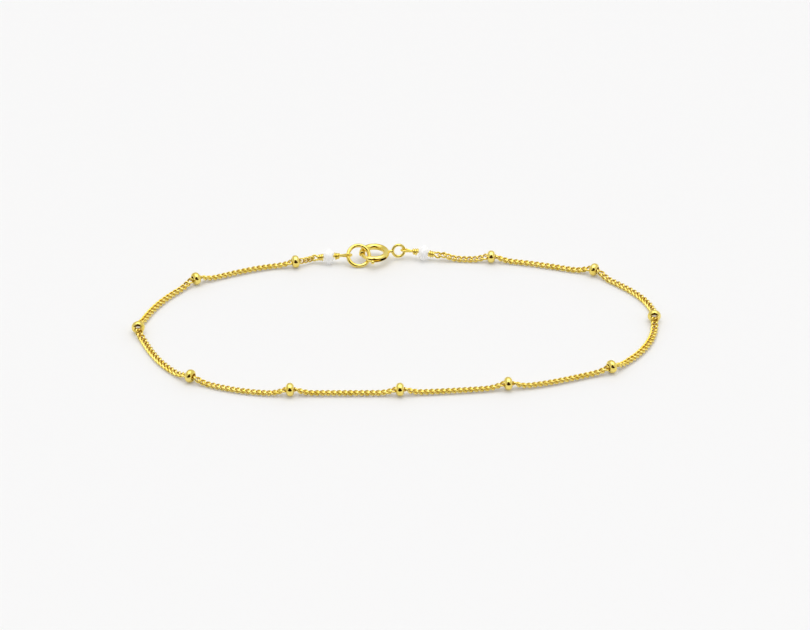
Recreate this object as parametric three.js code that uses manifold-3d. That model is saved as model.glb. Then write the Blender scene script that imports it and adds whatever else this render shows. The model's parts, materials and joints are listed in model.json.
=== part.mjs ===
// Satellite chain bracelet, fastened and lying on a surface.
// Millimetres, +Z up, +X along the long way of the loop, origin on the surface under the middle of the loop.
import * as THREE from "three";
import { mergeVertices } from "three/addons/utils/BufferGeometryUtils.js";
import Module from "manifold-3d";

const wasm = await Module();
wasm.setup();

const rad = THREE.MathUtils.degToRad;
const vec = (x, y, z) => new THREE.Vector3(x, y, z);
const UP = vec(0, 0, 1);

// Satellite beads: drilled rondelles, each resting on a flat of its rim
const BEAD = { radius: 0.95, shoulder: 0.8, bore: 0.6, halfLength: 0.62, halfRim: 0.2, halfBore: 0.48 };
const BEAD_SIDES = 16;
const BEAD_HEIGHT = BEAD.radius * Math.cos(Math.PI / BEAD_SIDES);

// Curb chain: its outer section, its height where it lies, and the straight run through a bead
const CHAIN = { width: 1.0, thickness: 0.62, height: 0.36, throughBead: 0.8 };
const CHAIN_SIDES = 8;
const CHAIN_START = { x: -14.86, y: 14.96, heading: -180 };
const KNOTS_AT = [0.15, 0.33, 0.5, 0.67, 0.85];
const WALK_STEPS = 40;

// One row for each stretch between two beads: the turn at the bead before it, how far it bends to the left,
// its length, and how late it bends, where 0 is an even arc. Turns are in degrees.
const STRETCHES = [
  { kink: 0, bend: 21.7, length: 15.07, late: -2.02 },
  { kink: 19.2, bend: 42.1, length: 15.07, late: 0.2 },
  { kink: 27.7, bend: 39.0, length: 14.89, late: 0.96 },
  { kink: 3.3, bend: 30.8, length: 14.28, late: 0.34 },
  { kink: -4.1, bend: 0.8, length: 14.89, late: -0.15 },
  { kink: 2.9, bend: 5.9, length: 14.78, late: 0.83 },
  { kink: -7.9, bend: 17.0, length: 14.95, late: -2.11 },
  { kink: 18.7, bend: 56.0, length: 15.08, late: 0.36 },
  { kink: -13.0, bend: 55.3, length: 15.27, late: -1.52 },
  { kink: 28.7, bend: 11.0, length: 15.3, late: 1.68 },
];

// Last link at each end of the chain, a plain ring through a wire's eye
const END_LINK = { radius: 0.42, wire: 0.14, slack: 0.05, overlap: 0.05 };

// Faceted stones, and the wrapped wire through each; places along the wire are from the stone's middle
const STONE = { radius: 1.1, table: 0.72, bore: 0.28, halfLength: 0.66, halfGirdle: 0.2 };
const STONE_SIDES = 12;
const STONE_LEFT = vec(-10.02, 15.95, 1.14);
const STONE_RIGHT = vec(3.83, 17.01, 1.14);
const WRAP = { wire: 0.17, coilFrom: 0.87, coilTurns: 1.6, coilPitch: 0.36, bite: 0.02 };
const EYE = { claspRadius: 0.55, chainRadius: 0.38, chainSide: 2.14 };
const CHAIN_EYE_TURN = { left: 50, right: -50 };

// Jump ring, leaning on the surface, and the place on it where the left wire's eye hangs
const JUMP = { centre: vec(-5.65, 15.94, 1.33), radius: 1.56, wire: 0.28, yaw: 10, lean: 42, eyeAt: 172 };

// Spring ring clasp, level: angles run anticlockwise from its end ring, seen from above
const CLASP = { centre: vec(-3.39, 16.6, 1.385), radius: 1.775, tube: 0.475, yaw: 10 };
const GAP = { from: 180, to: 232 };
const CHANNEL = { radius: 0.32, to: 345, socket: 173, lead: 5 };
const SLOT = { from: 250, to: 314, halfHeight: 0.19, halfDepth: 0.35 };
const END_RING = { radius: 0.87, wire: 0.21, neck: 0.3, neckRadius: 0.26, turn: 75 };
const BOLT = { radius: 0.26, from: 176, to: 260 };
const KNOB = { at: 256, stem: 0.13, radius: 0.28, standOff: 0.33 };
const ARC_STEP = 12;

const gold = () => new THREE.MeshStandardMaterial({ color: 0xd8b052, roughness: 0.18, metalness: 1 });
const whiteStone = () =>
  new THREE.MeshStandardMaterial({ color: 0xf2f1ec, roughness: 0.25, metalness: 0, flatShading: true });

// A curve whose equal steps are its own parameter's, so that an extrusion's steps land on chosen points.
class StepCurve extends THREE.Curve {
  constructor(pointAt) {
    super();
    this.pointAt = pointAt;
  }
  getPoint(t) {
    return this.pointAt(t);
  }
  getUtoTmapping(u) {
    return u;
  }
}

function throughPoints(points) {
  const last = points.length - 1;
  return new StepCurve((t) => {
    const i = Math.min(Math.floor(t * last), last - 1);
    return points[i].clone().lerp(points[i + 1], t * last - i);
  });
}

const arcPoint = (radius, angle) => vec(radius * Math.cos(rad(angle)), radius * Math.sin(rad(angle)), 0);

function arc(radius, from, to) {
  return new StepCurve((t) => arcPoint(radius, from + (to - from) * t));
}

function roundShape(radiusX, radiusY, sides) {
  const corner = (i) => ((i + 0.5) * 2 * Math.PI) / sides;
  const points = Array.from({ length: sides }, (_, i) => corner(i));
  return new THREE.Shape(points.map((a) => new THREE.Vector2(radiusX * Math.cos(a), radiusY * Math.sin(a))));
}

function boxShape(halfX, halfY) {
  return new THREE.Shape([
    new THREE.Vector2(-halfX, -halfY),
    new THREE.Vector2(halfX, -halfY),
    new THREE.Vector2(halfX, halfY),
    new THREE.Vector2(-halfX, halfY),
  ]);
}

function extrude(shape, path, steps) {
  return new THREE.ExtrudeGeometry(shape, { extrudePath: path, steps, bevelEnabled: false });
}

function arcTube(radius, tube, from, to, sides) {
  return extrude(roundShape(tube, tube, sides), arc(radius, from, to), Math.ceil((to - from) / ARC_STEP));
}

// Booleans
function solid(geometry) {
  const bare = geometry.clone();
  bare.deleteAttribute("normal");
  bare.deleteAttribute("uv");
  const merged = mergeVertices(bare, 1e-4);
  return new wasm.Manifold(
    new wasm.Mesh({
      numProp: 3,
      vertProperties: new Float32Array(merged.attributes.position.array),
      triVerts: new Uint32Array(merged.index.array),
    }),
  );
}

function geometryOf(made) {
  const mesh = made.getMesh();
  const geometry = new THREE.BufferGeometry();
  geometry.setAttribute("position", new THREE.BufferAttribute(new Float32Array(mesh.vertProperties), 3));
  geometry.setIndex(new THREE.BufferAttribute(new Uint32Array(mesh.triVerts), 1));
  const flat = geometry.toNonIndexed();
  flat.computeVertexNormals();
  return flat;
}

const join = (geometries) => geometries.map(solid).reduce((all, next) => all.add(next));

// Places and directions
const along = (yaw) => vec(Math.cos(rad(yaw)), Math.sin(rad(yaw)), 0);

function leaning(yaw, lean) {
  const level = along(yaw + 90).multiplyScalar(Math.cos(rad(lean)));
  return level.addScaledVector(UP, Math.sin(rad(lean)));
}

function basis(x, y, z, origin) {
  return new THREE.Matrix4().makeBasis(x, y, z).setPosition(origin);
}

const jumpFrame = basis(
  along(JUMP.yaw),
  leaning(JUMP.yaw, JUMP.lean),
  along(JUMP.yaw).cross(leaning(JUMP.yaw, JUMP.lean)),
  JUMP.centre,
);
const jumpHold = arcPoint(JUMP.radius, JUMP.eyeAt).applyMatrix4(jumpFrame);
const endRingReach = CLASP.radius + CLASP.tube + END_RING.neck + END_RING.wire + END_RING.radius;
const endRingHold = CLASP.centre.clone().addScaledVector(along(CLASP.yaw), endRingReach + END_RING.radius);

// The wire's own frame: x from its chain end to its clasp end, z as near upright as it can be
function wireFrame(stone, hold) {
  const x = hold.clone().sub(stone).normalize();
  const y = UP.clone().cross(x).normalize();
  return basis(x, y, x.clone().cross(y), stone);
}

// The eye at the clasp stands square to the ring that it holds
const wires = {
  left: {
    stone: STONE_LEFT,
    hold: jumpHold,
    held: JUMP.wire,
    frame: wireFrame(STONE_LEFT, jumpHold),
    claspEyeTurn: JUMP.lean - 90,
    chainEyeTurn: CHAIN_EYE_TURN.left,
  },
  right: {
    stone: STONE_RIGHT,
    hold: endRingHold,
    held: END_RING.wire,
    frame: wireFrame(STONE_RIGHT, endRingHold),
    claspEyeTurn: 90 - END_RING.turn,
    chainEyeTurn: CHAIN_EYE_TURN.right,
  },
};

// The place on a wire's eye that is nearest the chain's end bead, and the way the eye's wire runs there
function chainEye(wire, bead) {
  const turn = rad(wire.chainEyeTurn);
  const out = vec(1, 0, 0).transformDirection(wire.frame);
  const across = vec(0, Math.cos(turn), Math.sin(turn)).transformDirection(wire.frame);
  const centre = vec(-EYE.chainSide, 0, 0).applyMatrix4(wire.frame);
  const toBead = bead.clone().sub(centre);
  const angle = Math.atan2(toBead.dot(across), toBead.dot(out));
  const place = centre.addScaledVector(out, EYE.chainRadius * Math.cos(angle));
  place.addScaledVector(across, EYE.chainRadius * Math.sin(angle));
  const run = across.multiplyScalar(Math.cos(angle)).addScaledVector(out, -Math.sin(angle));
  return { place, run };
}

// The chain's way round, walked stretch by stretch
function walkStretch(from, heading, row) {
  const points = [from.clone()];
  const step = row.length / WALK_STEPS;
  for (let i = 0; i < WALK_STEPS; i += 1) {
    const t = (i + 0.5) / WALK_STEPS;
    const turned = row.bend * ((1 - row.late) * t + row.late * t * t);
    points.push(points[i].clone().addScaledVector(along(heading + turned), step));
  }
  return points;
}

function walkChain() {
  const beads = [vec(CHAIN_START.x, CHAIN_START.y, BEAD_HEIGHT)];
  const headings = [{ out: CHAIN_START.heading }];
  const stretches = [];
  for (const row of STRETCHES) {
    const bead = beads.length - 1;
    const heading = headings[bead].out + (bead > 0 ? row.kink : 0);
    headings[bead].out = heading;
    const points = walkStretch(beads[bead], heading, row);
    stretches.push(points);
    beads.push(points[WALK_STEPS]);
    headings.push({ in: heading + row.bend, out: heading + row.bend });
  }
  return { beads, headings, stretches };
}

const route = walkChain();
const lastBead = route.beads.length - 1;
const flatDirection = (from, to) => to.clone().sub(from).setZ(0).normalize();
const leftEye = chainEye(wires.left, route.beads[0]);
const rightEye = chainEye(wires.right, route.beads[lastBead]);

// A bead lies half way between the chain's ways in and out
const beadAxes = route.beads.map((bead, i) => {
  const wayIn = i > 0 ? along(route.headings[i].in) : flatDirection(leftEye.place, bead);
  const wayOut = i < lastBead ? along(route.headings[i].out) : flatDirection(bead, rightEye.place);
  return wayIn.add(wayOut).normalize();
});

const endLinks = [
  { eye: leftEye, bead: route.beads[0] },
  { eye: rightEye, bead: route.beads[lastBead] },
].map(({ eye, bead }) => {
  const toChain = flatDirection(eye.place, bead);
  const normal = eye.run.clone().addScaledVector(toChain, -eye.run.dot(toChain)).normalize();
  const centre = eye.place.clone().addScaledVector(toChain, END_LINK.slack);
  const tubeEnd = centre.clone().addScaledVector(toChain, END_LINK.radius - END_LINK.overlap);
  return { toChain, normal, centre, tubeEnd };
});

function chainKnots() {
  const knots = [endLinks[0].tubeEnd];
  route.beads.forEach((bead, i) => {
    knots.push(bead.clone().addScaledVector(beadAxes[i], -CHAIN.throughBead));
    knots.push(bead.clone().addScaledVector(beadAxes[i], CHAIN.throughBead));
    if (i === lastBead) return;
    for (const t of KNOTS_AT) {
      knots.push(route.stretches[i][Math.round(t * WALK_STEPS)].clone().setZ(CHAIN.height));
    }
  });
  const last = endLinks[1].tubeEnd;
  const bead = route.beads[lastBead];
  [1 / 3, 2 / 3].forEach((t) => knots.push(bead.clone().lerp(last, t).setZ(CHAIN.height)));
  knots.push(last);
  return knots;
}

function chainSolid() {
  const knots = chainKnots();
  const section = roundShape(CHAIN.thickness / 2, CHAIN.width / 2, CHAIN_SIDES);
  const rings = endLinks.map(({ toChain, normal, centre }) =>
    new THREE.TorusGeometry(END_LINK.radius, END_LINK.wire, 6, 12).applyMatrix4(
      basis(toChain, normal.clone().cross(toChain), normal, centre),
    ),
  );
  return join([extrude(section, throughPoints(knots), knots.length - 1), ...rings]);
}

function latheGeometry(profile, sides) {
  const closed = [...profile, profile[0]].map(([r, y]) => new THREE.Vector2(r, y));
  return new THREE.LatheGeometry(closed, sides, Math.PI / sides);
}

function beadGeometry() {
  const { radius, shoulder, bore, halfLength, halfRim, halfBore } = BEAD;
  return latheGeometry(
    [
      [bore, -halfBore],
      [shoulder, -halfLength],
      [radius, -halfRim],
      [radius, halfRim],
      [shoulder, halfLength],
      [bore, halfBore],
    ],
    BEAD_SIDES,
  );
}

function stoneGeometry() {
  const { radius, table, bore, halfLength, halfGirdle } = STONE;
  return latheGeometry(
    [
      [bore, -halfLength],
      [table, -halfLength],
      [radius, -halfGirdle],
      [radius, halfGirdle],
      [table, halfLength],
      [bore, halfLength],
    ],
    STONE_SIDES,
  );
}

// One wrapped wire: a straight core, a coil at each side of the stone and an eye at each end
function wireSolid({ stone, hold, held, frame, claspEyeTurn, chainEyeTurn }) {
  const eyeRoom = EYE.claspRadius - WRAP.wire - held;
  const claspEye = hold.distanceTo(stone) - eyeRoom / 2;
  const coreFrom = -EYE.chainSide + EYE.chainRadius;
  const coreTo = claspEye - EYE.claspRadius;
  const core = new THREE.CylinderGeometry(WRAP.wire, WRAP.wire, coreTo - coreFrom, 8)
    .rotateZ(-Math.PI / 2)
    .translate((coreFrom + coreTo) / 2, 0, 0);
  const coil = (sign) => {
    const radius = 2 * WRAP.wire - WRAP.bite;
    const helix = new StepCurve((t) => {
      const angle = t * WRAP.coilTurns * 2 * Math.PI;
      const x = WRAP.coilFrom + t * WRAP.coilTurns * WRAP.coilPitch;
      return vec(sign * x, radius * Math.cos(angle), radius * Math.sin(angle));
    });
    return extrude(roundShape(WRAP.wire, WRAP.wire, 6), helix, Math.round(WRAP.coilTurns * 12));
  };
  const eye = (x, radius, turn) =>
    new THREE.TorusGeometry(radius, WRAP.wire, 6, 14).rotateX(rad(turn)).translate(x, 0, 0);
  const eyes = [
    eye(-EYE.chainSide, EYE.chainRadius, chainEyeTurn),
    eye(claspEye, EYE.claspRadius, claspEyeTurn),
  ];
  return join([core, coil(-1), coil(1), ...eyes].map((piece) => piece.applyMatrix4(frame)));
}

function claspSolid() {
  const { radius, tube } = CLASP;
  const body = solid(arcTube(radius, tube, GAP.to, GAP.from + 360, 10));
  const channel = solid(arcTube(radius, CHANNEL.radius, GAP.to - CHANNEL.lead, CHANNEL.to, 10));
  const socket = solid(arcTube(radius, CHANNEL.radius, CHANNEL.socket, GAP.from + CHANNEL.lead, 10));
  const slotPath = arc(radius + SLOT.halfDepth, SLOT.from, SLOT.to);
  const slot = solid(extrude(boxShape(SLOT.halfHeight, SLOT.halfDepth), slotPath, 6));
  const ringAt = radius + tube + END_RING.neck + END_RING.wire + END_RING.radius;
  const ring = new THREE.TorusGeometry(END_RING.radius, END_RING.wire, 6, 16)
    .rotateX(rad(END_RING.turn))
    .translate(ringAt, 0, 0);
  const neckFrom = radius + tube / 2;
  const neckTo = ringAt - END_RING.radius;
  const neck = new THREE.CylinderGeometry(END_RING.neckRadius, END_RING.neckRadius, neckTo - neckFrom, 8)
    .rotateZ(-Math.PI / 2)
    .translate((neckFrom + neckTo) / 2, 0, 0);
  return body.subtract(channel).subtract(socket).subtract(slot).add(solid(ring)).add(solid(neck));
}

function triggerSolid() {
  const bolt = arcTube(CLASP.radius, BOLT.radius, BOLT.from, BOLT.to, 8);
  const knobAt = CLASP.radius + CLASP.tube + KNOB.standOff;
  const stemLength = knobAt - CLASP.radius;
  const stem = new THREE.CylinderGeometry(KNOB.stem, KNOB.stem, stemLength, 8)
    .rotateZ(-Math.PI / 2)
    .translate(CLASP.radius + stemLength / 2, 0, 0)
    .rotateZ(rad(KNOB.at));
  const knob = new THREE.SphereGeometry(KNOB.radius, 10, 8).translate(knobAt, 0, 0).rotateZ(rad(KNOB.at));
  return join([bolt, stem, knob]);
}

const bracelet = new THREE.Group();

function addPiece(name, geometry, material, frame = new THREE.Matrix4()) {
  const mesh = new THREE.Mesh(geometry, material);
  mesh.name = name;
  mesh.applyMatrix4(frame);
  bracelet.add(mesh);
}

addPiece("chain", geometryOf(chainSolid()), gold());
route.beads.forEach((bead, i) => {
  const frame = basis(beadAxes[i].clone().cross(UP), beadAxes[i], UP, bead);
  addPiece(`satellite_bead_${String(i + 1).padStart(2, "0")}`, beadGeometry(), gold(), frame);
});
for (const side of ["left", "right"]) {
  const upright = wires[side].frame.clone().multiply(new THREE.Matrix4().makeRotationZ(-Math.PI / 2));
  addPiece(`stone_${side}`, stoneGeometry(), whiteStone(), upright);
  addPiece(`wire_link_${side}`, geometryOf(wireSolid(wires[side])), gold());
}
addPiece("jump_ring", new THREE.TorusGeometry(JUMP.radius, JUMP.wire, 8, 24), gold(), jumpFrame);
const claspFrame = basis(along(CLASP.yaw), along(CLASP.yaw + 90), UP, CLASP.centre);
addPiece("clasp_ring", geometryOf(claspSolid()), gold(), claspFrame);
addPiece("clasp_trigger", geometryOf(triggerSolid()), gold(), claspFrame);

export default bracelet;
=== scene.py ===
"""Satellite chain bracelet: links, beads, stones, wrapped wires and clasp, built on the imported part."""

import json
import math
from collections import namedtuple

import bmesh
import bpy
import numpy as np
from bpy.props import FloatProperty, FloatVectorProperty, IntProperty, PointerProperty
from mathutils import Matrix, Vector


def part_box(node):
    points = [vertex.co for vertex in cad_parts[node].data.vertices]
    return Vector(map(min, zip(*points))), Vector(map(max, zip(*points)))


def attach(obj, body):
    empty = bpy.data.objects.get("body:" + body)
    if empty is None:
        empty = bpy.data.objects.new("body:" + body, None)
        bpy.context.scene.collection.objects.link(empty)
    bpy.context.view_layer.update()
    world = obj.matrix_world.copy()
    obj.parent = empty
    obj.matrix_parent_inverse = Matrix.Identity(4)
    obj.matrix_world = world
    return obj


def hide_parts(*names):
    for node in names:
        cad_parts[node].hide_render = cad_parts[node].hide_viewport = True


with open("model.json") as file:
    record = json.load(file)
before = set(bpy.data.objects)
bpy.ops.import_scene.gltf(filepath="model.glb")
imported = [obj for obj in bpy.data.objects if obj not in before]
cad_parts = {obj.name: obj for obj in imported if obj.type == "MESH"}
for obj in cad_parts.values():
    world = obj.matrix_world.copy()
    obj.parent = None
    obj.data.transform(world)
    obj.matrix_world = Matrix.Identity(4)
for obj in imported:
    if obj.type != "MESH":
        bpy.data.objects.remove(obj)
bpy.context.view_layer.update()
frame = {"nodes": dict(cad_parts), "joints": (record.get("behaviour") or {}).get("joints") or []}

bl_info = {
    "name": "Satellite chain bracelet",
    "version": (1, 0, 0),
    "blender": (4, 5, 0),
    "location": "View3D > Sidebar > Bracelet",
    "description": "Curb links, satellite beads, cut stones, wrapped wires and a spring ring clasp",
    "category": "Add Mesh",
}

MM = 0.001
UP = np.array((0.0, 0.0, 1.0))
BODY = "bracelet"
TRIGGER_BODY = "trigger"
# Name of the vertex mask that paints shade into the gold inside links and bead holes
PAINTED_SHADE = "recess"
BEAD_NODES = sorted(name for name in frame["nodes"] if name.startswith("satellite_bead"))

# Chain's way round: the turn at the bead before each stretch, its bend to the left, its length in mm,
# how late it bends, and how far the links are rolled at its start and its end, in degrees
Stretch = namedtuple("Stretch", "kink bend length late roll_from roll_to")
STRETCHES = (
    Stretch(0, 21.7, 15.07, -2.02, 10, 16),
    Stretch(19.2, 42.1, 15.07, 0.2, 10, 2),
    Stretch(27.7, 39.0, 14.89, 0.96, -2, -10),
    Stretch(3.3, 30.8, 14.28, 0.34, -8, -14),
    Stretch(-4.1, 0.8, 14.89, -0.15, -18, -14),
    Stretch(2.9, 5.9, 14.78, 0.83, -14, -18),
    Stretch(-7.9, 17.0, 14.95, -2.11, -20, -16),
    Stretch(18.7, 56.0, 15.08, 0.36, -14, -2),
    Stretch(-13.0, 55.3, 15.27, -1.52, 0, 6),
    Stretch(28.7, 11.0, 15.3, 1.68, 4, 10),
)
START_HEADING = -180
WALK_STEPS = 40
LINE_STEPS = 200
LINKS_PER_STRETCH = 18
LINKS_LEFT_END = 3
LINKS_RIGHT_END = 9
LINK_PITCH = 0.76 * MM
LINK_IN_BEAD = 0.14 * MM
BEAD_LINK_WIRE = 0.16 * MM
BEAD_LINK_WIDTH = 0.92 * MM
BEAD_LINK_PLAY = 0.07 * MM
# Painted shade: how far round each link's wire the darker colour reaches past its inner side
PAINTED_SHADE_SPREAD = 0.15
LINK_STEPS = 34
LINK_SIDES = 10
LINK_PLAY = 0.06 * MM
EYE_PLAY = 0.05 * MM
CHAIN_FALLS_FROM = 0.7 * MM
CHAIN_LIFT = 2.4 * MM
RUN_OVERHANG = 1.0 * MM

# Satellite beads
BEAD_LIP = 0.04 * MM
BEAD_ROWS = 25
BEAD_SIDES = 48
BEAD_EDGE = 60
HOLE_MARGIN = 1.01

# Wrapped wires: places along the wire are from the stone's middle
EYE_RADIUS = 0.55 * MM
EYE_HELD_WIRE = 0.17 * MM
CHAIN_EYE_REACH = 2.14 * MM
CHAIN_EYE_RADIUS = 0.38 * MM
LEFT_CHAIN_EYE_TURN = 50
RIGHT_CHAIN_EYE_TURN = -50
EYE_OPENS_AT = 128
COIL_FROM = 0.85 * MM
WIRE_SIDES = 12
EYE_POINTS = 15
COIL_POINTS = 12
WIRE_SMOOTHING = 3

# Jump ring
JUMP_RADIUS = 1.56 * MM
JUMP_WIRE = 0.28 * MM
JUMP_YAW = 10
JUMP_LEAN = 42
JUMP_EYE_AT = 172
JUMP_SEAM_AT = 262
JUMP_SIDES = 20
JUMP_EDGE = 50

# Spring ring clasp: angles run anticlockwise from its end ring, seen from above
CLASP_RADIUS = 1.775 * MM
CLASP_TUBE = 0.465 * MM
CLASP_YAW = 10
GAP_FROM = 180
GAP_TO = 232
CHANNEL_RADIUS = 0.32 * MM
CHANNEL_TO = 345
SOCKET_FROM = 173
CHANNEL_LEAD = 5
SLOT_FROM = 250
SLOT_TO = 314
SLOT_HALF_HEIGHT = 0.19 * MM
SLOT_DEPTH = 0.7 * MM
END_RING_RADIUS = 0.87 * MM
END_RING_WIRE = 0.21 * MM
END_RING_NECK = 0.31 * MM
END_RING_NECK_RADIUS = 0.26 * MM
END_RING_TURN = 75
BOLT_RADIUS = 0.26 * MM
BOLT_FROM = 176
BOLT_TO = 260
KNOB_AT = 256
KNOB_STEM = 0.13 * MM
KNOB_STAND_OFF = 0.34 * MM
KNOB_BALL_FROM = -1.08
KNOB_BALL_TO = 1.5
NECK_WAIST = 0.8
NECK_SWELL = 0.05 * MM
NECK_SWELL_REACH = 0.3 * MM
CLASP_SIDES = 28
CHANNEL_SIDES = 24
END_RING_SIDES = 18
END_RING_STEP = 6
NECK_SIDES = 20
NECK_ROWS = 12
BOLT_SIDES = 20
KNOB_SIDES = 20
KNOB_ROWS = 14
SLOT_RINGS = 17
SLOT_CORNERS = ((0, -1), (1, -1), (1, 1), (0, 1))
CLASP_EDGE = 40
LIP_ANGLES = np.radians((90, 60, 30))
DOME_ANGLES = np.radians((30, 55, 75))
ARC_STEP = 4
BOOLEAN_SCALE = 1 / MM

# Polish of each gold: roughness at its glossiest and dullest, and the scale of its handling marks
Polish = namedtuple("Polish", "gloss dull mark_scale")
POLISH = {
    "polished_links": Polish(0.04, 0.13, 9000.0),
    "polished_beads": Polish(0.03, 0.08, 5000.0),
    "polished_wire": Polish(0.05, 0.13, 8000.0),
    "polished_rings": Polish(0.03, 0.09, 6000.0),
    "polished_clasp": Polish(0.03, 0.09, 6000.0),
}
GOLD_CLOUD_SCALE = 900.0
GOLD_MARK_DEPTH = 0.004 * MM
CLOUD_DETAIL = 3.0
CLOUD_SPAN = (0.42, 0.7)
MARK_DETAIL = 4.0
MARK_SPAN = (0.35, 0.7)

# Stage
FLOOR_HALF = 0.9
CAMERA_LENS = 115.56
CAMERA_TARGET = np.array((1.12, 2.07, 0.0)) * MM
CAMERA_DISTANCE = 369.17 * MM
CAMERA_ELEVATION = 33
CAMERA_CLIP = 0.01
OPENING_TOP = math.radians(87)
OPENING_EDGE = 0.06
OVERHEAD_FROM = math.radians(45)
OVERHEAD_TO = math.radians(78)
RIGHT_SHARE = 0.08


# Settings that a user would change

class CurbChainSizes(bpy.types.PropertyGroup):
    wire: FloatProperty(
        name="Link wire", description="Diameter of the links' wire", default=0.28 * MM,
        unit="LENGTH", precision=6,
    )
    width: FloatProperty(
        name="Link width", description="Width of a link across the chain", default=1.13 * MM,
        unit="LENGTH", precision=6,
    )
    twist: FloatProperty(
        name="Link twist", description="Turn of each link's end out of its middle",
        default=math.radians(46), subtype="ANGLE",
    )
    fullness: FloatProperty(
        name="Link fullness", description="Shape of a link: 2 is an ellipse, more is squarer", default=2.4
    )


class BeadSizes(bpy.types.PropertyGroup):
    hole: FloatProperty(
        name="Bead hole", description="Radius of the hole that the chain runs through",
        default=0.5 * MM, unit="LENGTH", precision=6,
    )
    half_length: FloatProperty(
        name="Half length", description="Half of a bead's length along the chain", default=0.555 * MM,
        unit="LENGTH", precision=6,
    )
    fullness: FloatProperty(
        name="Bead fullness", description="Shape of a bead: 2 is an ellipse, more is squarer", default=2.4
    )


class StoneSizes(bpy.types.PropertyGroup):
    radius: FloatProperty(
        name="Girdle radius", description="Radius of a stone at its corners", default=1.1 * MM,
        unit="LENGTH", precision=6,
    )
    table: FloatProperty(
        name="Table radius", description="Radius of the flat end round the hole", default=0.64 * MM,
        unit="LENGTH", precision=6,
    )
    half_length: FloatProperty(
        name="Half length", description="Half of a stone's length along its wire", default=0.66 * MM,
        unit="LENGTH", precision=6,
    )
    half_girdle: FloatProperty(
        name="Half girdle", description="Half of the height of the girdle's facets", default=0.19 * MM,
        unit="LENGTH", precision=6,
    )
    bore: FloatProperty(
        name="Bore", description="Radius of the drilled hole", default=0.25 * MM, unit="LENGTH", precision=6
    )
    facets: IntProperty(name="Facets", description="Facets in each row round a stone", default=10, min=8)


class WireSizes(bpy.types.PropertyGroup):
    wire: FloatProperty(
        name="Wire", description="Radius of the wrapped wire", default=0.15 * MM, unit="LENGTH", precision=6
    )
    turns: FloatProperty(name="Turns", description="Turns in each coil", default=2.4)
    pitch: FloatProperty(
        name="Pitch", description="Step from one turn of a coil to the next", default=0.305 * MM,
        unit="LENGTH", precision=6,
    )
    spread: FloatProperty(
        name="Spread", description="How much wider a coil is beside the stone than at its eye",
        default=0.12 * MM, unit="LENGTH", precision=6,
    )


class ClaspSizes(bpy.types.PropertyGroup):
    knob: FloatProperty(
        name="Knob radius", description="Radius of the trigger's thumb knob", default=0.28 * MM,
        unit="LENGTH", precision=6,
    )
    lip: FloatProperty(
        name="Lip", description="Rounding of the ring's ends at its gap", default=0.07 * MM,
        unit="LENGTH", precision=6,
    )
    seam: FloatProperty(
        name="Jump ring seam", description="Width of the seam where the jump ring closes",
        default=0.03 * MM, unit="LENGTH", precision=6,
    )


class Finishes(bpy.types.PropertyGroup):
    gold: FloatVectorProperty(
        name="Gold", description="Colour of the polished gold", default=(0.94, 0.76, 0.21), size=3,
        subtype="COLOR", min=0, max=1,
    )
    deep_gold: FloatVectorProperty(
        name="Deep gold", description="Warmer colour that the gold varies to", default=(0.84, 0.64, 0.11),
        size=3, subtype="COLOR", min=0, max=1,
    )
    # Painted shade: a darker, warmer gold painted inside the links and bead holes, where shade falls
    painted_shade_gold: FloatVectorProperty(
        name="Painted shade gold", description="Deep colour of the gold inside links and holes",
        default=(0.68, 0.43, 0.02), size=3, subtype="COLOR", min=0, max=1,
    )
    stone: FloatVectorProperty(
        name="Stone", description="Colour of the white stones", default=(1.0, 1.0, 0.995), size=3,
        subtype="COLOR", min=0, max=1,
    )
    stone_cloud: FloatVectorProperty(
        name="Stone clouds", description="Colour of the faint clouds in the stones",
        default=(0.975, 0.98, 0.975), size=3, subtype="COLOR", min=0, max=1,
    )


class StageSettings(bpy.types.PropertyGroup):
    floor: FloatVectorProperty(
        name="Floor", description="Colour of the floor", default=(0.72, 0.72, 0.72), size=3,
        subtype="COLOR", min=0, max=1,
    )
    floor_glow: FloatProperty(name="Floor glow", description="Light that the floor gives back", default=0.15)
    side_light: FloatProperty(name="Side light", description="Light from the tent's sides", default=0.75)
    top_light: FloatProperty(name="Top light", description="Light from overhead", default=2.8)
    opening: FloatProperty(
        name="Opening", description="Half of the width of the tent's dark front opening at the floor",
        default=math.radians(58), subtype="ANGLE",
    )
    opening_colour: FloatVectorProperty(
        name="Opening colour", description="Colour of the room beyond the tent's opening",
        default=(0.05, 0.022, 0.012), size=3, subtype="COLOR", min=0, max=1,
    )


# Directions and frames

def unit(vector):
    return vector / np.linalg.norm(vector)


def along(yaw):
    return np.array((math.cos(math.radians(yaw)), math.sin(math.radians(yaw)), 0.0))


def box_middle(node):
    low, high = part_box(node)
    return (np.array(low) + np.array(high)) / 2


def placed(verts, x, y, z, origin):
    return np.asarray(verts) @ np.array((x, y, z)) + origin


def jump_axes():
    x = along(JUMP_YAW)
    lean = math.radians(JUMP_LEAN)
    y = along(JUMP_YAW + 90) * math.cos(lean) + UP * math.sin(lean)
    return x, y, np.cross(x, y)


def clasp_axes():
    return along(CLASP_YAW), along(CLASP_YAW + 90), UP


def clasp_centre():
    joint = next(row for row in frame["joints"] if row["child"] == TRIGGER_BODY)
    return np.array(joint["pos_m"])


Wire = namedtuple("Wire", "stone axes chain_turn clasp_turn clasp_reach")


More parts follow.
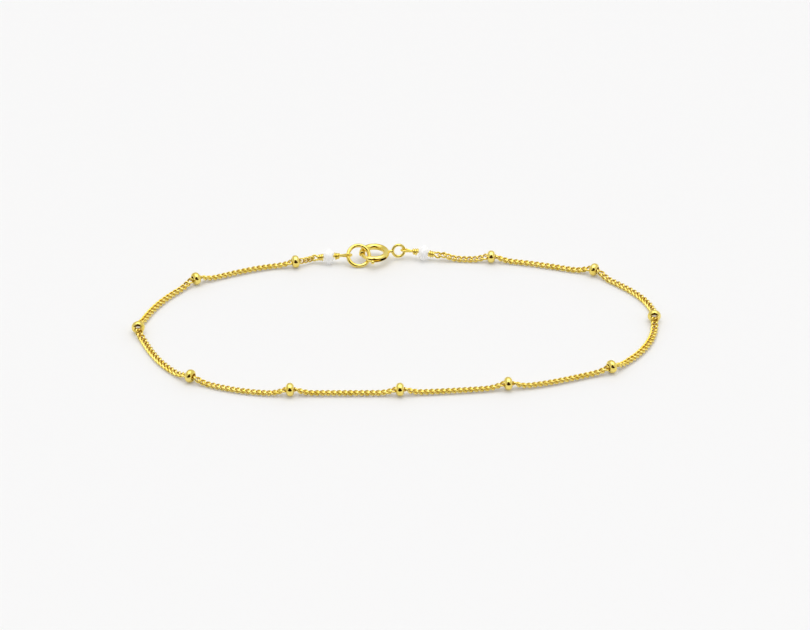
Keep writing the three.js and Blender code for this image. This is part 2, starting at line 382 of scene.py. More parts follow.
def wire_places():
    x, y, _ = jump_axes()
    angle = math.radians(JUMP_EYE_AT)
    jump_hold = box_middle("jump_ring") + JUMP_RADIUS * (x * math.cos(angle) + y * math.sin(angle))
    reach = CLASP_RADIUS + CLASP_TUBE + END_RING_NECK + END_RING_WIRE + 2 * END_RING_RADIUS
    clasp_hold = clasp_centre() + along(CLASP_YAW) * reach
    rows = (
        ("left", jump_hold, JUMP_WIRE, LEFT_CHAIN_EYE_TURN, JUMP_LEAN - 90),
        ("right", clasp_hold, END_RING_WIRE, RIGHT_CHAIN_EYE_TURN, 90 - END_RING_TURN),
    )
    wires = {}
    for side, hold, held, chain_turn, clasp_turn in rows:
        stone = box_middle("stone_" + side)
        forward = unit(hold - stone)
        across = unit(np.cross(UP, forward))
        axes = (forward, across, np.cross(forward, across))
        room = EYE_RADIUS - EYE_HELD_WIRE - held
        clasp_reach = np.linalg.norm(hold - stone) - room / 2
        wires[side] = Wire(stone, axes, chain_turn, clasp_turn, clasp_reach)
    return wires


def chain_eye(wire, bead):
    """The place on a wire's eye nearest the chain's end bead, and the way the eye's wire runs there."""
    out, y, z = wire.axes
    turn = math.radians(wire.chain_turn)
    across = y * math.cos(turn) + z * math.sin(turn)
    centre = wire.stone - out * CHAIN_EYE_REACH
    angle = math.atan2((bead - centre) @ across, (bead - centre) @ out)
    place = centre + CHAIN_EYE_RADIUS * (out * math.cos(angle) + across * math.sin(angle))
    return place, across * math.cos(angle) - out * math.sin(angle)


# Mesh builders

def domed(points, radii):
    """The same line with a dome's rings added at each end."""
    angles = DOME_ANGLES
    first = unit(points[0] - points[1])
    last = unit(points[-1] - points[-2])
    start = points[0] + np.outer(np.sin(angles[::-1]) * radii[0], first)
    end = points[-1] + np.outer(np.sin(angles) * radii[-1], last)
    points = np.vstack((start, points, end))
    radii = np.concatenate((np.cos(angles[::-1]) * radii[0], radii, np.cos(angles) * radii[-1]))
    return points, radii


def carried_normals(tangents):
    """A normal at each place that turns no more than the line does."""
    seed = np.eye(3)[np.argmin(np.abs(tangents[0]))]
    normals = [unit(np.cross(tangents[0], seed))]
    for tangent in tangents[1:]:
        normals.append(unit(normals[-1] - tangent * (normals[-1] @ tangent)))
    return np.array(normals)


def ring_faces(rings, sides, closed):
    """Faces between rings of vertices that follow each other, capped where the row is open."""
    count = rings if closed else rings - 1
    i, j = (grid.ravel() for grid in np.meshgrid(np.arange(count), np.arange(sides), indexing="ij"))
    beyond = (i + 1) % rings
    beside = (j + 1) % sides
    corners = (i * sides + j, i * sides + beside, beyond * sides + beside, beyond * sides + j)
    faces = np.column_stack(corners).tolist()
    if not closed:
        faces.append(list(range(sides))[::-1])
        faces.append(list(range((rings - 1) * sides, rings * sides)))
    return faces


def tube(points, radius, sides, closed=False, dome=True):
    """A round tube along a line of points."""
    points = np.asarray(points, float)
    radii = np.broadcast_to(np.asarray(radius, float), len(points)).copy()
    if dome and not closed:
        points, radii = domed(points, radii)
    if closed:
        tangents = np.roll(points, -1, axis=0) - np.roll(points, 1, axis=0)
    else:
        tangents = np.gradient(points, axis=0)
    tangents /= np.linalg.norm(tangents, axis=1, keepdims=True)
    normals = carried_normals(tangents)
    binormals = np.cross(tangents, normals)
    twist = np.zeros(len(points))
    if closed:
        back = unit(normals[-1] - tangents[0] * (normals[-1] @ tangents[0]))
        left_over = math.atan2(back @ binormals[0], back @ normals[0])
        twist = -left_over * np.arange(len(points)) / len(points)
    angles = np.arange(sides) * 2 * math.pi / sides + twist[:, None]
    spokes = np.cos(angles)[..., None] * normals[:, None] + np.sin(angles)[..., None] * binormals[:, None]
    verts = points[:, None] + radii[:, None, None] * spokes
    return verts.reshape(-1, 3), ring_faces(len(points), sides, closed)


def lathe(profile, sides, closed=False):
    """A turned form about x, from a row of (x, radius)."""
    x, radius = np.array(profile).T
    angles = np.arange(sides) * 2 * math.pi / sides
    shape = (len(profile), sides)
    across = np.broadcast_to(x[:, None], shape)
    verts = np.stack((across, np.outer(radius, np.cos(angles)), np.outer(radius, np.sin(angles))), axis=-1)
    return verts.reshape(-1, 3), ring_faces(len(profile), sides, closed)


def joined(parts):
    """Several (vertices, faces) as one."""
    verts, faces, start = [], [], 0
    for part_verts, part_faces in parts:
        verts.append(part_verts)
        faces += [[corner + start for corner in face] for face in part_faces]
        start += len(part_verts)
    return np.vstack(verts), faces


def arc_points(radius, start, end, step=ARC_STEP):
    angles = np.radians(np.linspace(start, end, max(2, math.ceil(abs(end - start) / step) + 1)))
    return np.column_stack((radius * np.cos(angles), radius * np.sin(angles), 0 * angles))


def smooth_line(points, steps):
    """A smooth line through points, with steps to each span."""
    points = np.asarray(points, float)
    padded = np.vstack((2 * points[0] - points[1], points, 2 * points[-1] - points[-2]))
    t = (np.arange(steps) / steps)[:, None]
    spans = []
    for a, b, c, d in zip(padded, padded[1:], padded[2:], padded[3:]):
        spans.append(b + 0.5 * t * (c - a + t * (2 * a - 5 * b + 4 * c - d + t * (3 * (b - c) + d - a))))
    return np.vstack((*spans, points[-1]))


def make_mesh(name, verts, faces):
    mesh = bpy.data.meshes.new(name)
    mesh.from_pydata(np.asarray(verts).tolist(), [], faces)
    work = bmesh.new()
    work.from_mesh(mesh)
    bmesh.ops.recalc_face_normals(work, faces=work.faces)
    work.to_mesh(mesh)
    work.free()
    return mesh


def set_painted_shade(mesh, depths):
    """Keeps on each vertex how much shade is painted into the gold there, as a darker colour."""
    attribute = mesh.attributes.new(PAINTED_SHADE, "FLOAT", "POINT")
    attribute.data.foreach_set("value", np.ravel(depths).astype(np.float32))


def add_piece(name, mesh, material, slot, body, *nodes):
    piece = bpy.data.objects.new(name, mesh)
    bpy.context.scene.collection.objects.link(piece)
    mesh.materials.clear()
    mesh.materials.append(material)
    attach(piece, body)
    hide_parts(*nodes)
    return piece


def smooth_with_edges(mesh, degrees):
    mesh.shade_smooth()
    mesh.set_sharp_from_angle(angle=math.radians(degrees))


def carve(name, base, steps):
    """The base form with each (operation, form) of steps applied to it, worked at a larger scale."""
    made = []
    for verts, faces in (base, *(form for _, form in steps)):
        made.append(bpy.data.objects.new(name, make_mesh(name, np.asarray(verts) * BOOLEAN_SCALE, faces)))
        bpy.context.scene.collection.objects.link(made[-1])
    for (operation, _), tool in zip(steps, made[1:]):
        modifier = made[0].modifiers.new(operation, "BOOLEAN")
        modifier.operation = operation
        modifier.solver = "EXACT"
        modifier.object = tool
    graph = bpy.context.evaluated_depsgraph_get()
    mesh = bpy.data.meshes.new_from_object(made[0].evaluated_get(graph))
    for thing in made:
        bpy.data.objects.remove(thing)
    if not mesh.polygons:
        raise RuntimeError(name + " came out empty")
    mesh.name = name
    mesh.transform(Matrix.Scale(1 / BOOLEAN_SCALE, 4))
    return mesh


def matrix_of(axes, origin):
    matrix = Matrix.Identity(4)
    for column, axis in enumerate((*axes, origin)):
        for row in range(3):
            matrix[row][column] = axis[row]
    return matrix


# Shader nodes

def add_node(tree, kind, inputs=(), **settings):
    node = tree.nodes.new(kind)
    for name, value in settings.items():
        setattr(node, name, value)
    for socket, value in dict(inputs).items():
        if isinstance(value, bpy.types.NodeSocket):
            tree.links.new(value, node.inputs[socket])
        else:
            node.inputs[socket].default_value = value
    return node


def add_math(tree, operation, first, second=0.0):
    return add_node(tree, "ShaderNodeMath", {0: first, 1: second}, operation=operation).outputs[0]


def add_range(tree, value, lows, highs, kind="SMOOTHSTEP"):
    """Value carried from the span lows[0]..lows[1] to highs[0]..highs[1]."""
    inputs = {"Value": value}
    names = ("From Min", "From Max", "To Min", "To Max")
    inputs.update(zip(names, (*lows, *highs)))
    return add_node(tree, "ShaderNodeMapRange", inputs, interpolation_type=kind).outputs["Result"]


def clouded_surface():
    """Shared group: slow clouds of colour and gloss, the fine marks that handling leaves, and shade painted
    in as a darker colour by a mask.
    """
    name = "clouded_surface"
    if name in bpy.data.node_groups:
        return bpy.data.node_groups[name]
    group = bpy.data.node_groups.new(name, "ShaderNodeTree")
    sockets = (
        ("Colour", "INPUT", "NodeSocketColor"),
        ("Cloud Colour", "INPUT", "NodeSocketColor"),
        ("Recess Colour", "INPUT", "NodeSocketColor"),
        ("Recess", "INPUT", "NodeSocketFloat"),
        ("Cloud Scale", "INPUT", "NodeSocketFloat"),
        ("Mark Scale", "INPUT", "NodeSocketFloat"),
        ("Gloss", "INPUT", "NodeSocketFloat"),
        ("Dull", "INPUT", "NodeSocketFloat"),
        ("Colour", "OUTPUT", "NodeSocketColor"),
        ("Roughness", "OUTPUT", "NodeSocketFloat"),
        ("Marks", "OUTPUT", "NodeSocketFloat"),
    )
    for socket, way, kind in sockets:
        group.interface.new_socket(socket, in_out=way, socket_type=kind)
    given = group.nodes.new("NodeGroupInput").outputs
    place = group.nodes.new("ShaderNodeTexCoord").outputs["Object"]
    clouds = add_node(
        group, "ShaderNodeTexNoise", {"Vector": place, "Scale": given["Cloud Scale"], "Detail": CLOUD_DETAIL}
    ).outputs["Fac"]
    marks = add_node(
        group, "ShaderNodeTexNoise", {"Vector": place, "Scale": given["Mark Scale"], "Detail": MARK_DETAIL}
    ).outputs["Fac"]
    share = add_range(group, clouds, CLOUD_SPAN, (0.0, 1.0))
    tint = add_node(group, "ShaderNodeMix", data_type="RGBA")
    group.links.new(share, tint.inputs["Factor"])
    group.links.new(given["Colour"], tint.inputs["A"])
    group.links.new(given["Cloud Colour"], tint.inputs["B"])
    # Painted shade: the colour darkened towards the shade colour where the mask is set
    shade_mix = add_node(group, "ShaderNodeMix", data_type="RGBA")
    group.links.new(given["Recess"], shade_mix.inputs["Factor"])
    group.links.new(tint.outputs["Result"], shade_mix.inputs["A"])
    group.links.new(given["Recess Colour"], shade_mix.inputs["B"])
    dull = add_range(group, marks, MARK_SPAN, (0.0, 1.0), "LINEAR")
    span = add_math(group, "SUBTRACT", given["Dull"], given["Gloss"])
    rough = add_math(group, "ADD", given["Gloss"], add_math(group, "MULTIPLY", span, dull))
    out = group.nodes.new("NodeGroupOutput").inputs
    group.links.new(shade_mix.outputs["Result"], out["Colour"])
    group.links.new(rough, out["Roughness"])
    group.links.new(marks, out["Marks"])
    return group


Surface = namedtuple("Surface", "colour cloud_colour recess_colour cloud_scale mark_scale gloss dull depth")


def surface_material(name, look, **sockets):
    """A material on the shared group, with any plain values set straight on its shader."""
    if name in bpy.data.materials:
        return bpy.data.materials[name]
    material = bpy.data.materials.new(name)
    material.use_nodes = True
    tree = material.node_tree
    shader = tree.nodes["Principled BSDF"]
    inputs = {
        "Colour": (*look.colour, 1.0),
        "Cloud Colour": (*look.cloud_colour, 1.0),
        "Recess Colour": (*look.recess_colour, 1.0),
        "Cloud Scale": look.cloud_scale,
        "Mark Scale": look.mark_scale,
        "Gloss": look.gloss,
        "Dull": look.dull,
    }
    surface = add_node(tree, "ShaderNodeGroup", node_tree=clouded_surface())
    for socket, value in inputs.items():
        surface.inputs[socket].default_value = value
    # The mask of painted shade, read from the mesh's vertices
    recess = add_node(tree, "ShaderNodeAttribute", attribute_name=PAINTED_SHADE)
    tree.links.new(recess.outputs["Fac"], surface.inputs["Recess"])
    marks = {"Height": surface.outputs["Marks"], "Strength": 1.0, "Distance": look.depth}
    bump = add_node(tree, "ShaderNodeBump", marks)
    tree.links.new(surface.outputs["Colour"], shader.inputs["Base Color"])
    tree.links.new(surface.outputs["Roughness"], shader.inputs["Roughness"])
    tree.links.new(bump.outputs["Normal"], shader.inputs["Normal"])
    for socket, value in sockets.items():
        shader.inputs[socket.replace("_", " ")].default_value = value
    return material


def gold_material(name):
    finish = bpy.context.scene.bracelet_finishes
    polish = POLISH[name]
    look = Surface(
        colour=finish.gold, cloud_colour=finish.deep_gold, recess_colour=finish.painted_shade_gold,
        cloud_scale=GOLD_CLOUD_SCALE, mark_scale=polish.mark_scale,
        gloss=polish.gloss, dull=polish.dull, depth=GOLD_MARK_DEPTH,
    )
    return surface_material(name, look, Metallic=1.0)


# Curb chain

def link_form(wire, width, pitch, shape):
    """One curb link along x: an oval of wire with its ends turned opposite ways."""
    reach = (pitch + wire) / 2 + LINK_PLAY
    half_width = (width - wire) / 2
    t = np.arange(LINK_STEPS) * 2 * math.pi / LINK_STEPS
    power = 2 / shape.fullness
    x = reach * np.sign(np.cos(t)) * np.abs(np.cos(t)) ** power
    y = half_width * np.sign(np.sin(t)) * np.abs(np.sin(t)) ** power
    turn = shape.twist * x / reach
    return tube(np.column_stack((x, y * np.cos(turn), y * np.sin(turn))), wire / 2, LINK_SIDES, closed=True)


Run = namedtuple("Run", "points start_tip end_tip start_height end_height links roll_from roll_to")


def stretch_points(start, heading, row):
    t = (np.arange(WALK_STEPS) + 0.5) / WALK_STEPS
    angles = heading + row.bend * ((1 - row.late) * t + row.late * t * t)
    steps = np.array([along(angle) for angle in angles]) * row.length * MM / WALK_STEPS
    return np.vstack((start, start + np.cumsum(steps, axis=0)))


def chain_fall(distance):
    """How much of a bead's height the chain still has at a distance from the bead's middle."""
    share = np.clip((distance - CHAIN_FALLS_FROM) / CHAIN_LIFT, 0, 1)
    return (1 - share) ** 2


def drawn_on(points, bead, axis):
    """A run's points, drawn on to the line of a bead's hole where they come near the bead."""
    s = (points - bead) @ axis
    line = bead + np.outer(s, axis)
    return points + chain_fall(np.abs(s))[:, None] * (line - points)


def eye_roll(to_chain, run, tip_turn):
    """How far the last link is rolled so that its end crosses the eye's wire squarely."""
    level = unit(np.cross(UP, to_chain))
    square = np.cross(to_chain, run)
    angle = math.atan2(square @ np.cross(to_chain, level), square @ level)
    return math.degrees(angle - tip_turn)


def near_roll(roll, wanted):
    """The same roll, half turns apart, nearest to the wanted one."""
    return roll - 180 * round((roll - wanted) / 180)


def chain_runs(sizes, inside):
    """Every run of links: between the beads in turn, then at each end of the chain."""
    beads = [box_middle(name) for name in BEAD_NODES]
    axes = bead_axes()
    wires = wire_places()
    runs = []
    heading = START_HEADING
    for i, row in enumerate(STRETCHES):
        bead, following = beads[i], beads[i + 1]
        heading += row.kink
        points = stretch_points(bead, heading, row)
        points += np.linspace(0, 1, len(points))[:, None] * (following - points[-1])
        points = drawn_on(drawn_on(points, bead, axes[i]), following, axes[i + 1])
        heading += row.bend
        tips_and_heights = (inside, inside, bead[2], following[2])
        runs.append(Run(points, *tips_and_heights, LINKS_PER_STRETCH, row.roll_from, row.roll_to))
    beyond = -(bpy.context.scene.bracelet_wires.wire + sizes.wire + EYE_PLAY)
    ends = (
        (wires["left"], beads[0], axes[0], LINKS_LEFT_END, STRETCHES[0].roll_from),
        (wires["right"], beads[-1], axes[-1], LINKS_RIGHT_END, STRETCHES[-1].roll_to),
    )
    for wire, bead, axis, links, bead_roll in ends:
        place, run = chain_eye(wire, bead)
        to_chain = unit((bead - place) * (1, 1, 0))
        roll = near_roll(eye_roll(to_chain, run, -sizes.twist), bead_roll)
        points = drawn_on(np.linspace(place, bead, WALK_STEPS + 1), bead, axis)
        other = roll if links == LINKS_LEFT_END else bead_roll
        runs.append(Run(points, beyond, inside, place[2], bead[2], links, roll, other))
    return runs


def run_line(run, rest):
    """The chain's line along a run as (lengths, points), lifted towards the run's ends."""
    flat = np.linalg.norm(np.diff(run.points[:, :2], axis=0), axis=1)
    s = np.concatenate(((0,), np.cumsum(flat)))
    fine = np.linspace(0, s[-1], LINE_STEPS)
    x, y = (np.interp(fine, s, run.points[:, axis]) for axis in range(2))
    from_start, from_end = chain_fall(fine), chain_fall(s[-1] - fine)
    lift = (run.start_height - rest) * from_start + (run.end_height - rest) * from_end
    lift /= np.maximum(1, from_start + from_end)
    points = np.column_stack((x, y, rest + lift))
    first = points[0] - unit(points[1] - points[0]) * RUN_OVERHANG
    last = points[-1] + unit(points[-1] - points[-2]) * RUN_OVERHANG
    points = np.vstack((first, points, last))
    steps = np.linalg.norm(np.diff(points, axis=0), axis=1)
    return np.concatenate(((0,), np.cumsum(steps))) - RUN_OVERHANG, points


def laid_link(verts, start, end, roll):
    """A link's vertices carried from x to its place between two points, and kept off the floor."""
    x = unit(end - start)
    level = unit(np.cross(UP, x))
    above = np.cross(x, level)
    y = level * math.cos(roll) + above * math.sin(roll)
    laid = placed(verts, x, y, np.cross(x, y), (start + end) / 2)
    laid[:, 2] += max(0.0, -laid[:, 2].min())
    return laid


def lay_run(run, sizes):
    """The links of one run, each as (vertices, faces)."""
    lengths, _ = run_line(run, sizes.wire)
    span = lengths[-1] - RUN_OVERHANG - run.start_tip - run.end_tip - 2 * LINK_PLAY
    scale = min(1.0, span / (run.links * LINK_PITCH + 2 * sizes.wire))
    wire = sizes.wire * scale
    pitch = (span - 2 * wire) / run.links
    verts, faces = link_form(wire, sizes.width * scale, pitch, sizes)
    links = []
    for i in range(run.links):
        roll = math.radians(run.roll_from + (run.roll_to - run.roll_from) * i / max(1, run.links - 1))
        rest = np.max(np.abs(verts[:, 1] * math.sin(roll) + verts[:, 2] * math.cos(roll)))
        lengths, points = run_line(run, rest)
        first = run.start_tip + LINK_PLAY + wire + i * pitch
        start, end = (
            np.array([np.interp(place, lengths, points[:, axis]) for axis in range(3)])
            for place in (first, first + pitch)
        )
        links.append((laid_link(verts, start, end, roll), faces))
    return links


def bead_links(sizes, inside, runs):
    """A finer link through each bead's hole, which holds the last links on the bead's two sides."""
    pitch = 2 * (inside + sizes.wire + BEAD_LINK_PLAY)
    verts, faces = link_form(BEAD_LINK_WIRE, BEAD_LINK_WIDTH, pitch, sizes)
    *between, left, right = runs
    rolls_in = (left.roll_to, *(run.roll_to for run in between))
    rolls_out = (*(run.roll_from for run in between), -right.roll_to)
    links = []
    for node, axis, roll_in, roll_out in zip(BEAD_NODES, bead_axes(), rolls_in, rolls_out):
        roll = math.radians((roll_in + roll_out) / 2)
        bead = box_middle(node)
        links.append((laid_link(verts, bead - axis * pitch / 2, bead + axis * pitch / 2, roll), faces))
    return links


def link_painted_shade(verts):
    """How far each vertex of a laid link faces the inside of the link, where shade is painted into the gold.
    """
    rings = verts.reshape(LINK_STEPS, LINK_SIDES, 3)
    middles = rings.mean(axis=1, keepdims=True)
    spokes = rings - middles
    inward = middles.mean(axis=0, keepdims=True) - middles
    facing = (spokes * inward).sum(axis=2)
    facing /= np.linalg.norm(spokes, axis=2) * np.linalg.norm(inward, axis=2)
    return np.clip(facing + PAINTED_SHADE_SPREAD, 0, 1)


class BRACELET_OT_curb_chain(bpy.types.Operator):
    """Lays the curb links from bead to bead and out to the eyes of the wrapped wires"""

    bl_idname = "bracelet.curb_chain"
    bl_label = "Curb chain"

    def execute(self, context):
        sizes = context.scene.bracelet_chain
        inside = context.scene.bracelet_beads.half_length - LINK_IN_BEAD
        runs = chain_runs(sizes, inside)
        links = bead_links(sizes, inside, runs)
        for run in runs:
            links += lay_run(run, sizes)
        mesh = make_mesh("curb_chain", *joined(links))
        # Painted shade: a darker gold on the inner side of each link
        set_painted_shade(mesh, [link_painted_shade(verts) for verts, _ in links])
        mesh.shade_smooth()
        add_piece("curb_chain", mesh, gold_material("polished_links"), "gold_chain", BODY, "chain")
        return {"FINISHED"}


# Satellite beads

def bead_form(sizes, radius):
    """A rondelle about x, full at its rim and turned in to a drilled hole with a rounded lip."""
    e = sizes.fullness
    full = sizes.half_length / (1 - (sizes.hole / radius) ** e) ** (1 / e)
    edge = full * (1 - ((sizes.hole + BEAD_LIP) / radius) ** e) ** (1 / e)
    across = np.sin(np.linspace(-1, 1, BEAD_ROWS) * math.pi / 2) * edge
    rim = [(x, radius * (1 - abs(x / full) ** e) ** (1 / e)) for x in across]
    inner = edge - BEAD_LIP / 2
    bore = [(x, sizes.hole) for x in (inner, inner / 2, -inner / 2)]
    return lathe([(-inner, sizes.hole), *rim, *bore], BEAD_SIDES, closed=True)


def bead_axes():
    """The way each bead points: half way between the chain's ways in and out."""
    beads = [box_middle(name) for name in BEAD_NODES]
    wires = wire_places()
    left, _ = chain_eye(wires["left"], beads[0])
    right, _ = chain_eye(wires["right"], beads[-1])
    ways_in = [unit((beads[0] - left) * (1, 1, 0))]
    ways_out = []
    heading = START_HEADING
    for row in STRETCHES:
        ways_out.append(along(heading + row.kink))
        heading += row.kink + row.bend
        ways_in.append(along(heading))
    ways_out.append(unit((right - beads[-1]) * (1, 1, 0)))
    return [unit(a + b) for a, b in zip(ways_in, ways_out)]


class BRACELET_OT_satellite_beads(bpy.types.Operator):
    """Turns the smooth drilled beads that the chain runs through"""

    bl_idname = "bracelet.satellite_beads"
    bl_label = "Satellite beads"

    def execute(self, context):
        sizes = context.scene.bracelet_beads
        material = gold_material("polished_beads")
        for node, axis in zip(BEAD_NODES, bead_axes()):
            low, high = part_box(node)
            verts, faces = bead_form(sizes, (high[2] - low[2]) / 2)
            # Painted shade: a darker gold inside each bead's hole
            in_hole = np.hypot(verts[:, 1], verts[:, 2]) < sizes.hole * HOLE_MARGIN
            verts = placed(verts, axis, np.cross(UP, axis), UP, box_middle(node))
            mesh = make_mesh(node + "_turned", verts, faces)
            set_painted_shade(mesh, in_hole)
            smooth_with_edges(mesh, BEAD_EDGE)
            add_piece(node + "_turned", mesh, material, "gold_bead", BODY, node)
        return {"FINISHED"}


# White stones

def stone_form(sizes):
    """A drilled rondelle about x: a flat table at each end and three rows of facets between them."""
    n = sizes.facets
    half = math.pi / n
    rows = (
        (-sizes.half_length, sizes.bore, 0.0),
        (-sizes.half_length, sizes.table, 0.0),
        (-sizes.half_girdle, sizes.radius, half),
        (sizes.half_girdle, sizes.radius, 0.0),
        (sizes.half_length, sizes.table, half),
        (sizes.half_length, sizes.bore, half),
    )
    angles = np.arange(n) * 2 * half
    verts = [(x, r * math.cos(a + turn), r * math.sin(a + turn)) for x, r, turn in rows for a in angles]
    faces = []
    for row in range(len(rows)):
        following = (row + 1) % len(rows)
        shift = rows[following][2] - rows[row][2]
        for i in range(n):
            a, b = row * n + i, row * n + (i + 1) % n
            c, d = following * n + i, following * n + (i + 1) % n
            if abs(shift) < half / 2:
                faces.append([a, b, d, c])
            elif shift > 0:
                faces += [[a, b, c], [b, d, c]]
            else:
                faces += [[a, d, c], [a, b, d]]
    return np.array(verts), faces


class BRACELET_OT_stones(bpy.types.Operator):
    """Cuts the two milky white stones"""

    bl_idname = "bracelet.stones"
    bl_label = "White stones"

    def execute(self, context):
        finish = context.scene.bracelet_finishes
        look = Surface(
            colour=finish.stone, cloud_colour=finish.stone_cloud, recess_colour=finish.stone_cloud,
            cloud_scale=1300.0, mark_scale=7000.0, gloss=0.1, dull=0.3, depth=0.002 * MM,
        )
        # Painted light: the stones glow faintly, to look brighter than their lighting makes them
        material = surface_material(
            "milky_stone", look,
            Subsurface_Weight=0.5, Subsurface_Radius=(1.0, 1.0, 1.0), Subsurface_Scale=0.6 * MM, IOR=1.4,
            Emission_Color=(1.0, 1.0, 0.97, 1.0), Emission_Strength=0.08,
        )
        for side, wire in wire_places().items():
            verts, faces = stone_form(context.scene.bracelet_stones)
            mesh = make_mesh("stone_" + side + "_cut", placed(verts, *wire.axes, wire.stone), faces)
            mesh.shade_flat()
            add_piece("stone_" + side + "_cut", mesh, material, "white_stone", BODY, "stone_" + side)
        return {"FINISHED"}


# Wrapped wires

def wrapped_end(sizes, reach, radius, turn):
    """Half of a wire, from the stone's middle out along x: its stem, its eye and the coil back."""
    wire = sizes.wire
    coil = 2 * wire
    neck = COIL_FROM + sizes.turns * sizes.pitch
    across = np.array((0, math.cos(math.radians(turn)), math.sin(math.radians(turn))))
    other = np.array((0, -across[2], across[1]))
    x = np.array((1.0, 0, 0))
    stem = [x * 0, x * neck * 0.5, x * (neck - wire)]
    eye = []
    for angle in np.radians(np.linspace(EYE_OPENS_AT, -EYE_OPENS_AT, EYE_POINTS)):
        eye.append(x * (reach + radius * math.cos(angle)) + across * radius * math.sin(angle))
    wound = []
    count = round(sizes.turns * COIL_POINTS)
    for i in range(count + 1):
        share = i / count
        angle = share * sizes.turns * 2 * math.pi
        width = coil + sizes.spread * share
        way = -across * math.cos(angle) + other * math.sin(angle)
        wound.append(x * (neck - share * sizes.turns * sizes.pitch) + way * width)
    return np.array(stem + eye + wound)


class BRACELET_OT_wrapped_wires(bpy.types.Operator):
    """Bends the wire through each stone, with an eye and a coil at each end"""

    bl_idname = "bracelet.wrapped_wires"
    bl_label = "Wrapped wires"

    def execute(self, context):
        sizes = context.scene.bracelet_wires
        material = gold_material("polished_wire")
        for side, wire in wire_places().items():
            chain_end = wrapped_end(sizes, CHAIN_EYE_REACH, CHAIN_EYE_RADIUS, wire.chain_turn) * (-1, 1, 1)
            clasp_end = wrapped_end(sizes, wire.clasp_reach, EYE_RADIUS, wire.clasp_turn)
            line = smooth_line(np.vstack((chain_end[:0:-1], clasp_end)), WIRE_SMOOTHING)
            verts, faces = tube(line, sizes.wire, WIRE_SIDES)
            name = "wire_link_" + side + "_wrapped"
            mesh = make_mesh(name, placed(verts, *wire.axes, wire.stone), faces)
            mesh.shade_smooth()
            add_piece(name, mesh, material, "gold_wire", BODY, "wire_link_" + side)
        return {"FINISHED"}


# Jump ring and clasp

class BRACELET_OT_jump_ring(bpy.types.Operator):
    """Bends the jump ring shut, with the fine seam where its ends meet"""

    bl_idname = "bracelet.jump_ring"
    bl_label = "Jump ring"

    def execute(self, context):
        seam = math.degrees(context.scene.bracelet_clasp.seam / JUMP_RADIUS) / 2
        line = arc_points(JUMP_RADIUS, JUMP_SEAM_AT + seam, JUMP_SEAM_AT + 360 - seam)
        verts, faces = tube(line, JUMP_WIRE, JUMP_SIDES, dome=False)
        mesh = make_mesh("jump_ring_bent", placed(verts, *jump_axes(), box_middle("jump_ring")), faces)
        smooth_with_edges(mesh, JUMP_EDGE)
        add_piece("jump_ring_bent", mesh, gold_material("polished_rings"), "gold_wire", BODY, "jump_ring")
        return {"FINISHED"}


def ring_body(lip):
    """The clasp's tube from one end of its gap round to the other, its two ends rounded over."""
    lip_turn = math.degrees(lip / CLASP_RADIUS)
    start, end = GAP_TO, GAP_FROM + 360
    inner = arc_points(CLASP_RADIUS, start + lip_turn, end - lip_turn)
    lead = [CLASP_RADIUS * along(start + lip_turn * (1 - math.sin(a))) for a in LIP_ANGLES]
    tail = [CLASP_RADIUS * along(end - lip_turn * (1 - math.sin(a))) for a in LIP_ANGLES[::-1]]
    rounding = [CLASP_TUBE - lip * (1 - math.cos(a)) for a in LIP_ANGLES]
    radii = np.concatenate((rounding, np.full(len(inner), CLASP_TUBE), rounding[::-1]))
    return tube(np.vstack((lead, inner, tail)), radii, CLASP_SIDES, dome=False)


def slot_form():
    """A block round the ring's outside, where the knob's stem slides."""
    rings = []
    for angle in np.linspace(SLOT_FROM, SLOT_TO, SLOT_RINGS):
        way = along(angle)
        for depth, height in SLOT_CORNERS:
            rings.append(way * (CLASP_RADIUS + depth * SLOT_DEPTH) + UP * height * SLOT_HALF_HEIGHT)
    return np.array(rings), ring_faces(SLOT_RINGS, len(SLOT_CORNERS), False)


def end_ring_forms():
    """The clasp's soldered end ring and the neck that carries it."""
    at = CLASP_RADIUS + CLASP_TUBE + END_RING_NECK + END_RING_WIRE + END_RING_RADIUS
    turn = math.radians(END_RING_TURN)
    x = np.array((1.0, 0, 0))
    y = np.array((0, math.cos(turn), math.sin(turn)))
    line = arc_points(END_RING_RADIUS, 0, 360 - END_RING_STEP, END_RING_STEP)
    ring, ring_sides = tube(line, END_RING_WIRE, END_RING_SIDES, closed=True)
    ring = placed(ring, x, y, np.cross(x, y), x * at)
    start = CLASP_RADIUS + CLASP_TUBE / 2
    end = at - END_RING_RADIUS
    middle = CLASP_RADIUS + CLASP_TUBE + END_RING_NECK / 2
    flare = []
    for place in np.linspace(start, end, NECK_ROWS):
        share = min(1, abs(place - middle) / NECK_SWELL_REACH)
        swell = NECK_SWELL * (1 - math.cos(math.pi * share)) / 2
        flare.append((place, END_RING_NECK_RADIUS * NECK_WAIST + swell))
    return (ring, ring_sides), lathe(flare, NECK_SIDES)


class BRACELET_OT_clasp_ring(bpy.types.Operator):
    """Makes the hollow spring ring with its gap, its slot and its soldered end ring"""

    bl_idname = "bracelet.clasp_ring"
    bl_label = "Clasp ring"

    def execute(self, context):
        ring, neck = end_ring_forms()
        channel_line = arc_points(CLASP_RADIUS, GAP_TO - CHANNEL_LEAD, CHANNEL_TO)
        socket_line = arc_points(CLASP_RADIUS, SOCKET_FROM, GAP_FROM + CHANNEL_LEAD)
        channel, socket = (
            tube(line, CHANNEL_RADIUS, CHANNEL_SIDES, dome=False) for line in (channel_line, socket_line)
        )
        steps = (
            ("DIFFERENCE", channel),
            ("DIFFERENCE", socket),
            ("DIFFERENCE", slot_form()),
            ("UNION", neck),
            ("UNION", ring),
        )
        mesh = carve("clasp_ring_hollow", ring_body(context.scene.bracelet_clasp.lip), steps)
        mesh.transform(matrix_of(clasp_axes(), clasp_centre()))
        smooth_with_edges(mesh, CLASP_EDGE)
        material = gold_material("polished_clasp")
        add_piece("clasp_ring_hollow", mesh, material, "gold_clasp", BODY, "clasp_ring")
        return {"FINISHED"}


